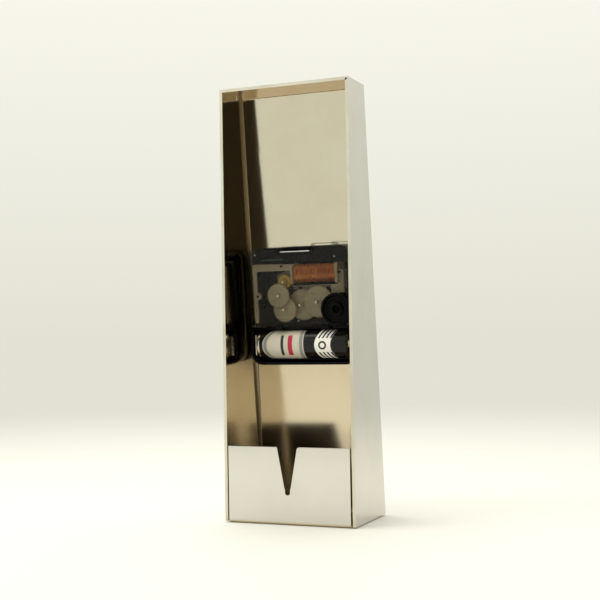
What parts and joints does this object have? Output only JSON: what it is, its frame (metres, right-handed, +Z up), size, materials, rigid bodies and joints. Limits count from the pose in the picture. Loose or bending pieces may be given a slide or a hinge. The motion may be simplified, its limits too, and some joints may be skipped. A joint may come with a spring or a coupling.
{
  "type": "mantel clock",
  "caption": "Mantel clock: a tall folded-steel case, open at the back, that carries a battery quartz movement, with hands on its sloping front.",
  "frame": {"origin": "on the surface that the clock stands on, under the middle of its bounding box", "axes": "+Z up, the dial faces -Y, the open back faces +Y, +X is the right hand of someone reading the dial"},
  "size_m": [0.067, 0.0429, 0.21],
  "materials": {
    "polished_steel": "polished",
    "black_moulding": "gloss",
    "smoke_moulding": "gloss",
    "clear_moulding": "satin",
    "cream_moulding": "satin",
    "amber_moulding": "satin",
    "copper_wire": "gloss",
    "soft_iron": "satin",
    "circuit_laminate": "satin",
    "epoxy": "satin",
    "spring_steel": "gloss",
    "yellow_brass": "gloss",
    "cell_jacket": "gloss",
    "black_rubber": "matte",
    "hand_paint": "satin"
  },
  "bodies": {
    "case": {"case_shell": "polished_steel", "hour_mark_12": "hand_paint", "hour_mark_3": "hand_paint", "hour_mark_6": "hand_paint", "hour_mark_9": "hand_paint", "mounting_bush": "yellow_brass", "mounting_nut": "yellow_brass", "dial_washer": "yellow_brass", "rubber_washer": "black_rubber", "movement_base": "black_moulding", "movement_cover": "smoke_moulding", "gear_bridge": "cream_moulding", "coil_frame": "cream_moulding", "coil_core": "soft_iron", "coil_winding": "copper_wire", "stator": "soft_iron", "circuit_board": "circuit_laminate", "driver_chip": "epoxy", "quartz_crystal": "spring_steel", "battery_contact_negative": "spring_steel", "battery_contact_positive": "spring_steel"},
    "second_hand": {"second_hand": "hand_paint", "second_wheel": "clear_moulding"},
    "rotor": {"rotor": "amber_moulding"},
    "fifth_wheel": {"fifth_wheel": "clear_moulding"},
    "fourth_wheel": {"fourth_wheel": "clear_moulding"},
    "third_wheel": {"third_wheel": "clear_moulding"},
    "centre_wheel": {"centre_wheel": "clear_moulding"},
    "minute_hand": {"minute_hand": "hand_paint", "minute_pipe": "clear_moulding"},
    "hour_hand": {"hour_hand": "hand_paint", "hour_wheel": "clear_moulding"},
    "intermediate_wheel": {"intermediate_wheel": "clear_moulding"},
    "setting_idler": {"setting_idler": "clear_moulding"},
    "setting_knob": {"setting_knob": "black_moulding"},
    "battery": {"battery_cell": "cell_jacket"}
  },
  "joints": [
    {"name": "second_hand_turn", "type": "hinge", "parent": "case", "child": "second_hand", "pos_m": [0, -0.01739, 0.10647], "axis": [0, 0.995, -0.0995], "continuous": true},
    {"name": "rotor_spin", "type": "hinge", "parent": "case", "child": "rotor", "pos_m": [0.0083, 0.00266, 0.11602], "axis": [0, 0.995, -0.0995], "continuous": true},
    {"name": "fifth_wheel_turn", "type": "hinge", "parent": "case", "child": "fifth_wheel", "pos_m": [0.0114, 0.00369, 0.10919], "axis": [0, 0.995, -0.0995], "continuous": true},
    {"name": "fourth_wheel_turn", "type": "hinge", "parent": "case", "child": "fourth_wheel", "pos_m": [0.0088, 0.00191, 0.10243], "axis": [0, 0.995, -0.0995], "continuous": true},
    {"name": "third_wheel_turn", "type": "hinge", "parent": "case", "child": "third_wheel", "pos_m": [-0.0087, 0.00114, 0.10582], "axis": [0, 0.995, -0.0995], "continuous": true},
    {"name": "centre_wheel_turn", "type": "hinge", "parent": "case", "child": "centre_wheel", "pos_m": [0, -0.00375, 0.10511], "axis": [0, 0.995, -0.0995], "continuous": true},
    {"name": "minute_hand_turn", "type": "hinge", "parent": "case", "child": "minute_hand", "pos_m": [0, -0.01639, 0.10637], "axis": [0, 0.995, -0.0995], "continuous": true},
    {"name": "hour_hand_turn", "type": "hinge", "parent": "case", "child": "hour_hand", "pos_m": [0, -0.0151, 0.10624], "axis": [0, 0.995, -0.0995], "continuous": true},
    {"name": "intermediate_wheel_turn", "type": "hinge", "parent": "case", "child": "intermediate_wheel", "pos_m": [-0.0065, -0.00508, 0.10494], "axis": [0, 0.995, -0.0995], "continuous": true},
    {"name": "setting_idler_turn", "type": "hinge", "parent": "case", "child": "setting_idler", "pos_m": [-0.01463, -0.00545, 0.10121], "axis": [0, 0.995, -0.0995], "continuous": true},
    {"name": "setting_knob_turn", "type": "hinge", "parent": "case", "child": "setting_knob", "pos_m": [-0.0203, 0.00628, 0.10189], "axis": [0, 0.995, -0.0995], "continuous": true},
    {"name": "battery_slide", "type": "slide", "parent": "case", "child": "battery", "axis": [0, 0.995, -0.0995], "range_m": [0, 0.042]}
  ],
  "couplings": [
    {"joint": "fourth_wheel_turn", "follows": "second_hand_turn", "ratio": -6},
    {"joint": "fifth_wheel_turn", "follows": "second_hand_turn", "ratio": 30},
    {"joint": "rotor_spin", "follows": "second_hand_turn", "ratio": -120},
    {"joint": "third_wheel_turn", "follows": "second_hand_turn", "ratio": -0.13333},
    {"joint": "centre_wheel_turn", "follows": "second_hand_turn", "ratio": 0.016667},
    {"joint": "intermediate_wheel_turn", "follows": "minute_hand_turn", "ratio": -0.33333},
    {"joint": "hour_hand_turn", "follows": "minute_hand_turn", "ratio": 0.083333},
    {"joint": "setting_idler_turn", "follows": "minute_hand_turn", "ratio": 0.4},
    {"joint": "setting_knob_turn", "follows": "minute_hand_turn", "ratio": -0.85714}
  ]
}
